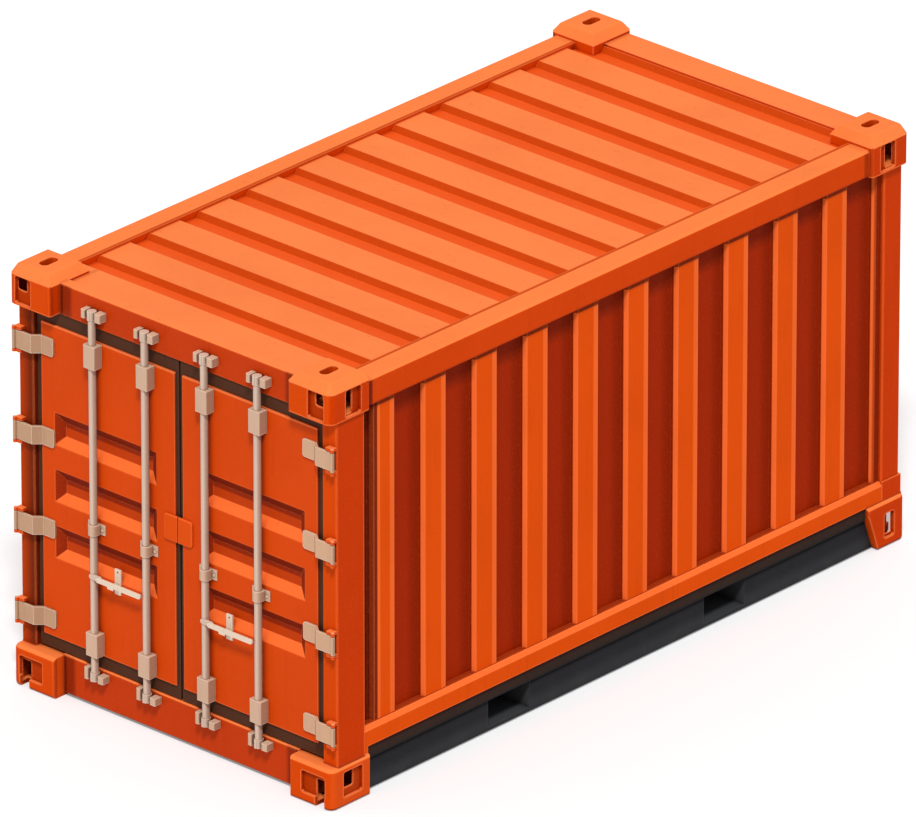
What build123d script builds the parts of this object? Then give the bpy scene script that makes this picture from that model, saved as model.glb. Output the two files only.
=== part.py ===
"""Short dry-freight shipping container with two hinged cargo doors at one end.

Origin: centre of the footprint, on the ground. +Z up, X across the width,
the doors at -Y and the blind end at +Y. All sizes in millimetres.
"""
import os
from math import hypot

from build123d import *

os.makedirs("parts", exist_ok=True)

# Overall envelope, taken to the faces of the corner castings
length = 4800
width = 2438
height = 2591
front = -length / 2
back = length / 2
side = width / 2

# Corner castings
casting = 320
casting_top_height = 240
casting_bottom_height = 250
casting_wall = 28
casting_corner_radius = 48
casting_side_radius = 16
casting_edge_radius = 24
crown_run = 40
crown_rise = 60
crown_radius = 20
foot_edge_radius = 30
foot_cut_run = 88
foot_cut_rise = 250
slot_length = 124.5
slot_width = 63.5
recess_depth = 20
recess_radius = 16
recess_margin = 4
hole_radius = 12
casting_inner = side - casting
rail_bottom = height - casting_top_height

# Apertures in the outer faces of the castings: each is a recess that starts a
# little way in from the corner edge, with a hole in its near side
top_recess_low = 12
top_recess_tall = 164
top_front_start = 52
top_front_width = 118
top_front_hole_width = 72
top_front_hole_low = 88
top_front_hole_tall = 84
top_side_start = 124
top_side_width = 124
top_side_hole_width = 64
top_side_hole_low = 16
top_side_hole_tall = 156
foot_front_start = 52
foot_front_width = 178
foot_front_low = 60
foot_front_tall = 135
foot_front_hole_width = 72
foot_front_hole_low = -20
foot_front_hole_tall = 188
foot_front_hole_depth = 68
foot_side_start = 98
foot_side_width = 154
foot_side_low = 58
foot_side_tall = 156
foot_side_hole_width = 92
foot_side_hole_low = 106
foot_side_hole_tall = 104
cut_side_width = 84
cut_side_hole_width = 60
cut_side_hole_low = 72
cut_side_hole_tall = 128

# Set-backs of the frame members from the casting faces
rail_inset = 22
frame_outer = side - rail_inset
post_inset = 15
post_outer = side - post_inset
post_front = 65
door_face = 80
header_face = 80
wall_inset = 50

# Corner posts
post_width = 110
post_depth = 220
post_wall = 6
post_radius = 12
post_inner = post_outer - post_width
post_back = post_front + post_depth
stop_plate = 6
stop_reach = 35
blind_post_depth = 160
blind_post_width = 150
blind_post_near = length - rail_inset - blind_post_depth
blind_post_step = 8

# Top frame
rail_drop = 73
rail_top = height - rail_drop
rail_width = 162
rail_wall = 4
rail_edge_radius = 22
header_rise = 20
header_top = rail_top + header_rise
header_lip = 9
header_bottom = rail_bottom - header_lip
header_depth = 66
header_wall = 5
header_radius = 12
header_margin = 60
header_plate_end = casting + header_margin
header_stop_drop = 40
stop_depth = header_face + header_depth
end_frame_depth = 100
front_plate_depth = 103
roof_half_width = frame_outer - rail_width

# Bottom frame
sill_top = 258
sill_bottom = 18
bottom_rail_tall = 118
bottom_rail_bottom = 290
bottom_rail_top = bottom_rail_bottom + bottom_rail_tall
bottom_rail_depth = 70
bottom_rail_bevel = 24
beam_lip_inset = 26
beam_lip_tall = 75
beam_inset = 48
beam_depth = 82
beam_wall = 6
beam_bottom = 12
beam_outer = side - beam_inset
beam_inner = beam_outer - beam_depth
floor_thickness = 28
floor_bottom = sill_top - floor_thickness
cross_member_height = 122
cross_member_width = 45
cross_member_wall = 4
cross_member_count = 11

# Forklift pockets
pocket_spacing = 1800
pocket_width = 340
pocket_bottom = 36
pocket_height = 168
pocket_top = pocket_bottom + pocket_height
pocket_plate = 6
pocket_strap = 300

# Pressed sheet
sheet = 2.5
wall_outer = side - wall_inset
wall_depth = 36
wall_pitch = 417
wall_ridge = 165
wall_slope = 20
wall_first_ridge = 402
roof_drop = 14
roof_top = rail_top - roof_drop
header_plate = roof_drop + sheet
roof_depth = 32
roof_pitch = 402
roof_groove = 108
roof_slope = 28
roof_margin = 7
roof_end = length - rail_inset - end_frame_depth - front_plate_depth

# Door leaves
leaf_seam = 30
leaf_gap = 49
leaf_top_gap = 80
leaf_bottom_gap = 87
leaf_outer = post_inner - leaf_gap
leaf_bottom = sill_top + leaf_bottom_gap
leaf_top = header_bottom - leaf_top_gap
leaf_depth = 45
leaf_stile = 88
leaf_rail = 140
tube_wall = 3
swage_seam_margin = 140
swage_post_margin = 95
swage_inner = leaf_seam + swage_seam_margin
swage_outer = leaf_outer - swage_post_margin
swage_height = 200
swage_pitch = 348
swage_rise = 938
swage_count = 3
swage_middle = leaf_bottom + swage_rise
swage_depth = 34
swage_slope = 58
gasket_depth = 15
gasket_lip = 33
gasket_seam = 8
gasket_gap = 10
gasket_outer = post_inner - gasket_gap
gasket_top_clearance = 5
gasket_bottom_clearance = 7
gasket_width = 60

# Hinges
pin_proud = 1
pin_x = post_outer + pin_proud
pin_setback = 28
pin_radius = 7
pin_clearance = 0.5
pin_head = 2
knuckle_radius = 12
hinge_height = 110
hinge_rise = 108
hinge_drop = 138
hinge_count = 4
hinge_first = leaf_bottom + hinge_rise
hinge_pitch = (leaf_top - hinge_drop - hinge_first) / (hinge_count - 1)
blade_thickness = 12
blade_reach = 100
blade_end = leaf_outer - blade_reach
blade_radius = 16
bend_clearance = 4
lug_height = 18
lug_gap = 5
lug_width = 50

# Lock bars, guides, cams and keepers
bar_radius = 22
bar_setback = 48
inner_bar_margin = 195
outer_bar_margin = 420
inner_bar_x = leaf_seam + inner_bar_margin
outer_bar_x = leaf_outer - outer_bar_margin
bar_spacing = outer_bar_x - inner_bar_x
bar_sill_lap = 62
bar_header_lap = 120
bar_bottom = sill_top - bar_sill_lap
bar_top = header_bottom + bar_header_lap
bar_clearance = 1
guide_width = 88
guide_front = 18
guide_radius = 8
guide_tall = 138
guide_margin = 6
clamp_tall = 62
clamp_rise = 751
clamp_radius = door_face - bar_setback
clamp_reach = 65
clamp_plate = 8
cam_radius = 27
cam_height = 50
cam_nose = 16
cam_nose_reach = 29.5
keeper_gap = 36
keeper_left = 66
keeper_right = 80
keeper_front = 26
keeper_post_tall = 70
keeper_block_tall = 42
keeper_radius = 8

# Handles, each hung on a pivot beside its bar and resting on a catch
handle_rise = 500
handle_z = leaf_bottom + handle_rise
handle_height = 28
handle_thickness = 12
handle_front = 8
handle_end_gap = 12
pivot_offset = 62
pivot_radius = 6
pivot_clearance = 0.3
pivot_gap = 0.5
ear_back = 34
catch_share = 0.4
catch_offset = catch_share * bar_spacing
catch_width = 46
catch_below = 64
catch_above = 62
catch_plate = 10
catch_ledge = 12
catch_seat = 0.3
catch_hole_drop = 18
catch_hole_radius = 7

# Lock plates over the seam
plate_seam = 4
plate_reach = 106
plate_rise = 889
plate_tall = 158
plate_bottom = leaf_bottom + plate_rise
plate_thickness = 14
plate_radius = 18
plate_bevel = 4


def block(x0, x1, y0, y1, z0, z1, mode=Mode.ADD):
    with Locations(((x0 + x1) / 2, (y0 + y1) / 2, (z0 + z1) / 2)):
        return Box(abs(x1 - x0), abs(y1 - y0), abs(z1 - z0), mode=mode)


def box_beam(x0, x1, y0, y1, z0, z1, wall):
    """Closed hollow beam with the same wall all round."""
    with BuildPart() as beam:
        block(x0, x1, y0, y1, z0, z1)
        block(x0 + wall, x1 - wall, y0 + wall, y1 - wall, z0 + wall, z1 - wall, Mode.SUBTRACT)
    return beam.part


def mirrored(part):
    with BuildPart() as other:
        mirror(part, about=Plane.YZ)
    return other.part


def export(part, name):
    part.label = name
    export_step(part, "parts/" + name + ".step")


def aperture(plane, start, way, depth, radius, low, wide, tall):
    """Cut a rounded window into a casting's outer face.

    start is where the window begins on the plane's first axis, and way the
    direction it runs from there.
    """
    with BuildSketch(plane) as window:
        with Locations((start + way * wide / 2, low + tall / 2)):
            RectangleRounded(wide, tall, radius)
    extrude(window.sketch, amount=-depth, mode=Mode.SUBTRACT)


def round_footprint(low, high):
    """Round a casting's two exposed upright edges beside its outer corner."""
    with BuildSketch(Plane.XY.offset(low)) as footprint:
        with Locations((side - casting / 2, front + casting / 2)):
            Rectangle(casting, casting)
        corners = vertices().sort_by(Axis((0, 0, 0), (1, 1, 0)))
        fillet((corners[0], corners[-1]), casting_side_radius)
    extrude(footprint.sketch, amount=high - low, mode=Mode.INTERSECT)


def outer_edges(face):
    """A casting face's edges on the container's two outer sides, with the corner arc."""
    return [
        edge for edge in face.edges()
        if edge.center().X > casting_inner + 1 and edge.center().Y < front + casting - 1]


def top_casting():
    """Hollow casting at the +X, -Y top corner, crowned above the roof."""
    middle_x = side - casting / 2
    middle_y = front + casting / 2
    with BuildPart() as body:
        block(casting_inner, side, front, front + casting, rail_bottom, height)
        corner = body.edges().filter_by(Axis.Z).sort_by(Axis.X)[-2:].sort_by(Axis.Y)[0]
        fillet(corner, casting_corner_radius)
        crown = body.faces().sort_by(Axis.Z)[-1]
        chamfer(crown.edges(), length=crown_run, length2=crown_rise, reference=crown)
        fillet(body.faces().sort_by(Axis.Z)[-1].edges(), crown_radius)
        round_footprint(rail_bottom, height)
        block(
            casting_inner + casting_wall, side - casting_wall,
            front + casting_wall, front + casting - casting_wall,
            rail_bottom + casting_wall / 2, height - crown_rise, Mode.SUBTRACT)
        with BuildSketch(Plane.XY.offset(height)):
            with Locations((middle_x, middle_y)):
                SlotOverall(slot_length, slot_width, rotation=90)
        extrude(amount=-crown_rise, mode=Mode.SUBTRACT)
        end_face = Plane.XZ.offset(-front)
        side_face = Plane.YZ.offset(side)
        aperture(
            end_face, side - top_front_start, -1, recess_depth, recess_radius,
            rail_bottom + top_recess_low, top_front_width, top_recess_tall)
        aperture(
            end_face, side - top_front_start - recess_margin, -1, casting_wall, hole_radius,
            rail_bottom + top_front_hole_low, top_front_hole_width, top_front_hole_tall)
        aperture(
            side_face, front + top_side_start, 1, recess_depth, recess_radius,
            rail_bottom + top_recess_low, top_side_width, top_recess_tall)
        aperture(
            side_face, front + top_side_start + recess_margin, 1, casting_wall, hole_radius,
            rail_bottom + top_side_hole_low, top_side_hole_width, top_side_hole_tall)
    return body.part


def casting_hollow(tall, cut):
    """Inside of a bottom casting; cut follows the sloped cut with the same wall."""
    with BuildPart() as hollow:
        block(
            casting_inner + casting_wall, side - casting_wall,
            front + casting_wall, front + casting - casting_wall,
            casting_wall, tall - casting_wall)
        if cut:
            share = 1 + casting_wall * hypot(1 / foot_cut_rise, 1 / foot_cut_run)
            rise = foot_cut_rise * (share - casting_wall / foot_cut_run) - casting_wall
            run = foot_cut_run * (share - casting_wall / foot_cut_rise) - casting_wall
            bottom = hollow.faces().sort_by(Axis.Z)[0]
            chamfer(
                bottom.edges().sort_by(Axis.Y)[-1], length=run, length2=rise, reference=bottom)
    return hollow.part


def bottom_casting(tall, cut):
    """Hollow casting at the +X, -Y bottom corner; cut slopes its lower inner edge."""
    middle_x = side - casting / 2
    middle_y = front + casting / 2
    with BuildPart() as body:
        block(casting_inner, side, front, front + casting, 0, tall)
        side_width, side_hole_width = foot_side_width, foot_side_hole_width
        side_hole_low, side_hole_tall = foot_side_hole_low, foot_side_hole_tall
        if cut:
            side_width, side_hole_width = cut_side_width, cut_side_hole_width
            side_hole_low, side_hole_tall = cut_side_hole_low, cut_side_hole_tall
            bottom = body.faces().sort_by(Axis.Z)[0]
            chamfer(
                bottom.edges().sort_by(Axis.Y)[-1],
                length=foot_cut_run, length2=foot_cut_rise, reference=bottom)
        corner = body.edges().filter_by(Axis.Z).sort_by(Axis.X)[-2:].sort_by(Axis.Y)[0]
        fillet(corner, casting_corner_radius)
        fillet(outer_edges(body.faces().sort_by(Axis.Z)[-1]), foot_edge_radius)
        fillet(outer_edges(body.faces().sort_by(Axis.Z)[0]), casting_edge_radius)
        round_footprint(0, tall)
        add(casting_hollow(tall, cut), mode=Mode.SUBTRACT)
        with BuildSketch(Plane.XY):
            with Locations((middle_x, middle_y)):
                SlotOverall(slot_length, slot_width, rotation=90)
        extrude(amount=casting_wall, mode=Mode.SUBTRACT)
        end_face = Plane.XZ.offset(-front)
        side_face = Plane.YZ.offset(side)
        aperture(
            end_face, side - foot_front_start, -1, recess_depth, recess_radius,
            foot_front_low, foot_front_width, foot_front_tall)
        aperture(
            end_face, side - foot_front_start - recess_margin, -1,
            foot_front_hole_depth, hole_radius,
            foot_front_hole_low, foot_front_hole_width, foot_front_hole_tall)
        aperture(
            side_face, front + foot_side_start, 1, recess_depth, recess_radius,
            foot_side_low, side_width, foot_side_tall)
        aperture(
            side_face, front + foot_side_start + recess_margin, 1, casting_wall, hole_radius,
            side_hole_low, side_hole_width, side_hole_tall)
    return body.part


def four_castings(door_end, blind_end):
    """Both castings of each end, made from the +X ones at the door end's place."""
    with BuildPart() as group:
        add(door_end)
        mirror(blind_end, about=Plane.XZ)
        mirror(group.part, about=Plane.YZ)
    return group.part


def door_post():
    """Right door post: hollow column with the door stop plate on its inner side."""
    near = front + post_front
    with BuildPart() as post:
        block(
            post_inner, post_outer, near, near + post_depth,
            casting_bottom_height, rail_bottom)
        fillet(post.edges().filter_by(Axis.Z).sort_by(Axis.Y)[:2], post_radius)
        block(
            post_inner + post_wall, post_outer - post_wall,
            near + post_wall, near + post_depth - post_wall,
            casting_bottom_height, rail_bottom, Mode.SUBTRACT)
        block(
            post_inner - stop_reach, post_inner,
            front + stop_depth, front + stop_depth + stop_plate,
            casting_bottom_height, rail_bottom)
    return post.part


def blind_post():
    """Right post at the blind end: hollow column with a collar as high as the bottom rail."""
    inner = frame_outer - blind_post_width
    outer = frame_outer - blind_post_step
    near = front + blind_post_near
    far = back - rail_inset - blind_post_step
    with BuildPart() as post:
        block(inner, outer, near, far, bottom_rail_bottom, rail_bottom)
        fillet(post.edges().filter_by(Axis.Z).sort_by(Axis.X)[-2:], post_radius)
        block(
            inner, frame_outer, near, back - rail_inset,
            bottom_rail_bottom, bottom_rail_top)
        block(
            inner + post_wall, outer - post_wall, near + post_wall, far - post_wall,
            bottom_rail_bottom, rail_bottom, Mode.SUBTRACT)
    return post.part


def top_side_rail():
    """Right top rail: rolled box section, rounded on its outer edges."""
    middle = ((roof_half_width + frame_outer) / 2, (rail_bottom + rail_top) / 2)
    tall = rail_top - rail_bottom
    with BuildPart() as rail:
        with BuildSketch(Plane.XZ.offset(-front - casting)):
            with Locations(middle):
                Rectangle(rail_width, tall)
            fillet(vertices().sort_by(Axis.X)[-2:], rail_edge_radius)
            with Locations(middle):
                RectangleRounded(
                    rail_width - 2 * rail_wall, tall - 2 * rail_wall,
                    rail_edge_radius - rail_wall, mode=Mode.SUBTRACT)
        extrude(amount=-(length - 2 * casting))
    return rail.part


def door_header():
    """Box beam over the doors, the flat roof plate behind it and the upper door stop."""
    near = front + header_face
    far = near + header_depth
    with BuildPart() as header:
        block(-casting_inner, casting_inner, near, far, header_bottom, header_top)
        fillet(header.edges().filter_by(Axis.X).sort_by(Axis.Y)[:2], header_radius)
        block(
            -casting_inner + header_wall, casting_inner - header_wall,
            near + header_wall, far - header_wall,
            header_bottom + header_wall, header_top - header_wall, Mode.SUBTRACT)
        block(
            -roof_half_width, roof_half_width,
            front + casting, front + header_plate_end,
            rail_top - header_plate, rail_top)
        block(
            -casting_inner, casting_inner, far, front + casting,
            rail_top - header_plate, rail_top)
        block(
            -post_inner + stop_reach, post_inner - stop_reach,
            front + stop_depth, front + stop_depth + stop_plate,
            header_bottom - header_stop_drop, rail_bottom)
    return header.part


def front_header():
    far = back - rail_inset
    near = far - end_frame_depth
    with BuildPart() as header:
        add(box_beam(
            -casting_inner, casting_inner, near, far, rail_bottom, rail_top, header_wall))
        block(
            -casting_inner, casting_inner, near - front_plate_depth, near,
            rail_top - header_plate, rail_top)
    return header.part


def door_sill():
    near = front + header_face
    far = near + header_depth
    with BuildPart() as sill:
        block(-casting_inner, casting_inner, near, far, sill_bottom, sill_top)
        fillet(sill.edges().filter_by(Axis.X).sort_by(Axis.Y)[:2], header_radius)
        block(
            -casting_inner + header_wall, casting_inner - header_wall,
            near + header_wall, far - header_wall,
            sill_bottom + header_wall, sill_top - header_wall, Mode.SUBTRACT)
    return sill.part


def front_sill():
    """Closed box across the blind end, widened over the castings up to the posts."""
    far = back - rail_inset
    near = far - end_frame_depth
    post = frame_outer - blind_post_width
    with BuildPart() as sill:
        block(-casting_inner, casting_inner, near, far, sill_bottom, bottom_rail_top)
        block(-post, post, near, far, bottom_rail_bottom, bottom_rail_top)
        block(
            -casting_inner + header_wall, casting_inner - header_wall,
            near + header_wall, far - header_wall,
            sill_bottom + header_wall, bottom_rail_top - header_wall, Mode.SUBTRACT)
        block(
            -post + header_wall, post - header_wall, near + header_wall, far - header_wall,
            bottom_rail_bottom + header_wall, bottom_rail_top - header_wall, Mode.SUBTRACT)
    return sill.part


def bottom_side_rail():
    """Right bottom rail: hollow bar with a sloped top, and a foot behind the door post."""
    inner = frame_outer - bottom_rail_depth
    near = front + post_back
    far = front + blind_post_near
    with BuildPart() as rail:
        block(inner, frame_outer, near, far, bottom_rail_bottom, bottom_rail_top)
        top_edges = rail.edges().filter_by(Axis.Y).sort_by(Axis.X)[-2:].sort_by(Axis.Z)
        chamfer(top_edges[-1], bottom_rail_bevel)
        block(inner, frame_outer, near, front + casting, casting_bottom_height, bottom_rail_bottom)
        block(
            inner + rail_wall, frame_outer - bottom_rail_bevel - rail_wall,
            near + rail_wall, far - rail_wall,
            bottom_rail_bottom + rail_wall, bottom_rail_top - rail_wall, Mode.SUBTRACT)
    return rail.part


def underframe_beam():
    """Right charcoal channel under the bottom rail, with its lip and pocket windows.

    Its blind end runs on under the sloped cut of the casting.
    """
    lip_outer = side - beam_lip_inset
    top = bottom_rail_bottom
    lip_bottom = top - beam_lip_tall
    wedge_foot = back - casting + foot_cut_run * (1 - beam_bottom / foot_cut_rise)
    with BuildPart() as beam:
        with BuildSketch(Plane.XZ.offset(-front - casting)):
            with BuildLine():
                Polyline(
                    (beam_inner, beam_bottom),
                    (beam_outer, beam_bottom),
                    (beam_outer, lip_bottom),
                    (lip_outer, lip_bottom),
                    (lip_outer, top),
                    (beam_inner, top),
                    (beam_inner, top - beam_wall),
                    (lip_outer - beam_wall, top - beam_wall),
                    (lip_outer - beam_wall, lip_bottom + beam_wall),
                    (beam_outer - beam_wall, lip_bottom + beam_wall),
                    (beam_outer - beam_wall, beam_bottom + beam_wall),
                    (beam_inner, beam_bottom + beam_wall),
                    close=True)
            make_face()
        extrude(amount=-(length - 2 * casting))
        for centre in (-pocket_spacing / 2, pocket_spacing / 2):
            block(
                beam_inner, beam_outer,
                centre - pocket_width / 2, centre + pocket_width / 2,
                pocket_bottom, pocket_top, Mode.SUBTRACT)
        with BuildSketch(Plane.YZ.offset(beam_inner)):
            with BuildLine():
                Polyline(
                    (back - casting, beam_bottom),
                    (wedge_foot, beam_bottom),
                    (back - casting, foot_cut_rise),
                    close=True)
            make_face()
        extrude(amount=beam_depth)
    return beam.part


def underframe_beams():
    right = underframe_beam()
    with BuildPart() as beams:
        add(right)
        mirror(right, about=Plane.YZ)
    return beams.part


def forklift_pockets():
    """Two closed sleeves across the frame, their floors left out between the end straps."""
    reach = beam_outer - beam_wall
    with BuildPart() as pockets:
        for centre in (-pocket_spacing / 2, pocket_spacing / 2):
            low_y = centre - pocket_width / 2
            high_y = centre + pocket_width / 2
            block(
                -reach, reach, low_y - pocket_plate, high_y + pocket_plate,
                pocket_bottom - pocket_plate, pocket_top + pocket_plate)
            block(-reach, reach, low_y, high_y, pocket_bottom, pocket_top, Mode.SUBTRACT)
            block(
                -reach + pocket_strap, reach - pocket_strap, low_y, high_y,
                pocket_bottom - pocket_plate, pocket_bottom, Mode.SUBTRACT)
    return pockets.part


def cross_members():
    """Channels under the floor, left out where the forklift pockets pass."""
    reach = beam_outer - beam_wall
    low = floor_bottom - cross_member_height
    half = cross_member_width / 2
    first = front + casting + half
    spacing = -2 * first / (cross_member_count - 1)
    with BuildPart() as members:
        for step in range(cross_member_count):
            middle = first + step * spacing
            if abs(abs(middle) - pocket_spacing / 2) < pocket_width / 2 + cross_member_width:
                continue
            block(-reach, reach, middle - half, middle + half, low, floor_bottom)
            block(
                -reach, reach, middle - half + cross_member_wall, middle + half,
                low + cross_member_wall, floor_bottom - cross_member_wall, Mode.SUBTRACT)
    return members.part


def floor_deck():
    reach = beam_outer - beam_wall
    with BuildPart() as deck:
        block(-reach, reach, front + casting, back - casting, floor_bottom, sill_top)
        block(
            -casting_inner, casting_inner,
            front + header_face + header_depth, back - rail_inset - end_frame_depth,
            floor_bottom, sill_top)
    return deck.part


def wave(first, pitch, ridge, slope, start, end, low, high):
    """Points of a trapezoid wave from start to end, both cut square."""
    points = [(start, low)]
    begin = first
    while begin - slope < end:
        points += [
            (begin - slope, low), (begin, high),
            (begin + ridge, high), (begin + ridge + slope, low)]
        begin += pitch
    points.append((max(end, points[-1][0]) + slope, low))
    kept = [point for point in points if point[0] < end]
    last = kept[-1]
    after = points[len(kept)]
    share = (end - last[0]) / (after[0] - last[0])
    kept.append((end, last[1] + share * (after[1] - last[1])))
    return kept


def bent_sheet(points):
    """Outline of a bent sheet that lies to the left of its line of points."""
    normals = []
    for (x0, y0), (x1, y1) in zip(points, points[1:]):
        run = hypot(x1 - x0, y1 - y0)
        normals.append(((y0 - y1) / run, (x1 - x0) / run))
    inner = []
    for (x, y), (ax, ay), (bx, by) in zip(points, normals[:1] + normals, normals + normals[-1:]):
        share = sheet / (1 + ax * bx + ay * by)
        inner.append((x + share * (ax + bx), y + share * (ay + by)))
    return points + inner[::-1]


def pressed_sheet(plane, points, tall):
    with BuildPart() as panel:
        with BuildSketch(plane):
            with BuildLine():
                Polyline(*bent_sheet(points), close=True)
            make_face()
        extrude(amount=tall)
    return panel.part


def side_wall():
    """Right side wall: one pressed sheet with upright ridges."""
    line = wave(
        wall_first_ridge, wall_pitch, wall_ridge, wall_slope,
        post_back, blind_post_near, wall_outer - wall_depth, wall_outer)
    points = [(x, front + s) for s, x in line]
    return pressed_sheet(Plane.XY.offset(bottom_rail_top), points, rail_bottom - bottom_rail_top)


def end_wall():
    """Blind end wall, pressed like the side walls, with its ridges centred."""
    half = frame_outer - blind_post_width
    count = int(2 * half // wall_pitch)
    first = -(count - 1) / 2 * wall_pitch - wall_ridge / 2
    outer = back - wall_inset
    line = wave(
        first, wall_pitch, wall_ridge, wall_slope, -half, half, outer - wall_depth, outer)
    points = line[::-1]
    return pressed_sheet(Plane.XY.offset(bottom_rail_top), points, rail_bottom - bottom_rail_top)


def roof_panel():
    """Roof: one pressed sheet with grooves across its width, notched for two castings."""
    first = header_plate_end + roof_margin + roof_slope
    line = wave(
        first, roof_pitch, roof_groove, roof_slope,
        header_plate_end, roof_end, roof_top, roof_top - roof_depth)
    points = [(front + s, z) for s, z in line][::-1]
    with BuildPart() as roof:
        add(pressed_sheet(Plane.YZ.offset(-roof_half_width), points, 2 * roof_half_width))
        for way in (-1, 1):
            block(
                way * casting_inner, way * roof_half_width,
                back - casting, front + roof_end, rail_bottom, rail_top, Mode.SUBTRACT)
    return roof.part


def swage_rectangles(plane, grow):
    """Lofted body of one row's pressing at each height, widened by grow."""
    middle_x = (swage_inner + swage_outer) / 2
    wide = swage_outer - swage_inner
    bodies = []
    for row in range(swage_count):
        centre = swage_middle + (row - (swage_count - 1) / 2) * swage_pitch
        with BuildPart() as pressing:
            with BuildSketch(plane):
                with Locations((middle_x, centre)):
                    Rectangle(wide + grow, swage_height + grow)
            with BuildSketch(plane.offset(-swage_depth)):
                with Locations((middle_x, centre)):
                    Rectangle(
                        wide - 2 * swage_slope + grow, swage_height - 2 * swage_slope + grow)
            loft()
        bodies.append(pressing.part)
    return bodies


def door_panel():
    """Right leaf's outer skin with its pressed-in swages."""
    plane = Plane.XZ.offset(-front - door_face)
    with BuildPart() as panel:
        block(
            leaf_seam, leaf_outer, front + door_face, front + door_face + tube_wall,
            leaf_bottom, leaf_top)
        add(swage_rectangles(plane.offset(-tube_wall), tube_wall))
        add(swage_rectangles(plane, 0), mode=Mode.SUBTRACT)
    return panel.part


def door_frame():
    """Right leaf's hollow perimeter frame behind the skin."""
    near = front + door_face + tube_wall
    far = front + door_face + leaf_depth
    with BuildPart() as frame:
        block(leaf_seam, leaf_outer, near, far, leaf_bottom, leaf_top)
        block(
            leaf_seam + leaf_stile, leaf_outer - leaf_stile, near, far,
            leaf_bottom + leaf_rail, leaf_top - leaf_rail, Mode.SUBTRACT)
        with BuildSketch(Plane.XZ.offset(-near - tube_wall)):
            with Locations(((leaf_seam + leaf_outer) / 2, (leaf_bottom + leaf_top) / 2)):
                Rectangle(
                    leaf_outer - leaf_seam - 2 * tube_wall,
                    leaf_top - leaf_bottom - 2 * tube_wall)
                Rectangle(
                    leaf_outer - leaf_seam - 2 * leaf_stile + 2 * tube_wall,
                    leaf_top - leaf_bottom - 2 * leaf_rail + 2 * tube_wall, mode=Mode.SUBTRACT)
        extrude(amount=-(far - near - 2 * tube_wall), mode=Mode.SUBTRACT)
    return frame.part


def door_gasket():
    """Right leaf's rubber seal: a lip round the leaf's edge and a band behind it."""
    leaf_back = front + door_face + leaf_depth
    low = sill_top + gasket_bottom_clearance
    high = header_bottom - gasket_top_clearance
    with BuildPart() as gasket:
        block(
            gasket_seam, gasket_outer, leaf_back - gasket_lip, leaf_back + gasket_depth,
            low, high)
        block(
            leaf_seam, leaf_outer, leaf_back - gasket_lip, leaf_back,
            leaf_bottom, leaf_top, Mode.SUBTRACT)
        block(
            leaf_seam + gasket_width, leaf_outer - gasket_width,
            leaf_back, leaf_back + gasket_depth,
            leaf_bottom + gasket_width, leaf_top - gasket_width, Mode.SUBTRACT)
    return gasket.part


def door_hinges():
    """Right leaf's hinge blades, bent from the leaf to the pin, with their pins."""
    pin_y = front + pin_setback
    leaf_y = front + door_face
    half = hinge_height / 2
    pin_tall = hinge_height + 2 * (lug_gap + lug_height + pin_head)
    with BuildPart() as hinges:
        for step in range(hinge_count):
            middle = hinge_first + step * hinge_pitch
            with BuildSketch(Plane.XY.offset(middle - half)):
                with BuildLine():
                    Polyline(
                        (pin_x, pin_y),
                        (post_inner - bend_clearance - blade_thickness, pin_y),
                        (leaf_outer - blade_thickness, leaf_y - blade_thickness),
                        (blade_end, leaf_y - blade_thickness),
                        (blade_end, leaf_y),
                        (leaf_outer - bend_clearance, leaf_y),
                        (post_inner - bend_clearance, pin_y + blade_thickness),
                        (pin_x, pin_y + blade_thickness),
                        close=True)
                make_face()
                with Locations((pin_x, pin_y)):
                    Circle(knuckle_radius)
            extrude(amount=hinge_height)
        fillet(hinges.edges().filter_by(Axis.Y).group_by(Axis.X)[0], blade_radius)
        for step in range(hinge_count):
            with Locations((pin_x, pin_y, hinge_first + step * hinge_pitch)):
                Cylinder(pin_radius, pin_tall)
    return hinges.part


def hinge_lugs():
    """Lugs welded to both door posts, above and below each blade."""
    pin_y = front + pin_setback
    half = hinge_height / 2
    with BuildPart() as lugs:
        for step in range(hinge_count):
            middle = hinge_first + step * hinge_pitch
            for low in (middle - half - lug_gap - lug_height, middle + half + lug_gap):
                with BuildSketch(Plane.XY.offset(low)):
                    with Locations((pin_x, pin_y)):
                        Circle(knuckle_radius)
                    with Locations((pin_x - lug_width / 2, (pin_y + front + post_front) / 2)):
                        Rectangle(lug_width, post_front - pin_setback)
                    with Locations((pin_x, pin_y)):
                        Circle(pin_radius + pin_clearance, mode=Mode.SUBTRACT)
                extrude(amount=lug_height)
        mirror(lugs.part, about=Plane.YZ)
    return lugs.part


def bar_guides():
    """Right leaf's bearings for its two lock bars: housings at the ends, clamps between."""
    near = front + guide_front
    far = front + door_face
    axis_y = front + bar_setback
    clamp_low = leaf_bottom + clamp_rise
    with BuildPart() as guides:
        for x in (inner_bar_x, outer_bar_x):
            for low in (leaf_bottom + guide_margin, leaf_top - guide_margin - guide_tall):
                with BuildSketch(Plane.XY.offset(low)):
                    with Locations((x, (near + far) / 2)):
                        Rectangle(guide_width, far - near)
                    fillet(vertices().group_by(Axis.Y)[0], guide_radius)
                    with Locations((x, axis_y)):
                        Circle(bar_radius + bar_clearance, mode=Mode.SUBTRACT)
                extrude(amount=guide_tall)
            with BuildSketch(Plane.XY.offset(clamp_low)):
                with Locations((x, axis_y)):
                    Circle(clamp_radius)
                with Locations((x, (axis_y + far) / 2)):
                    Rectangle(2 * clamp_radius, far - axis_y)
                with Locations((x, far - clamp_plate / 2)):
                    Rectangle(2 * clamp_reach, clamp_plate)
                with Locations((x, axis_y)):
                    Circle(bar_radius + bar_clearance, mode=Mode.SUBTRACT)
            extrude(amount=clamp_tall)
    return guides.part


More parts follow.
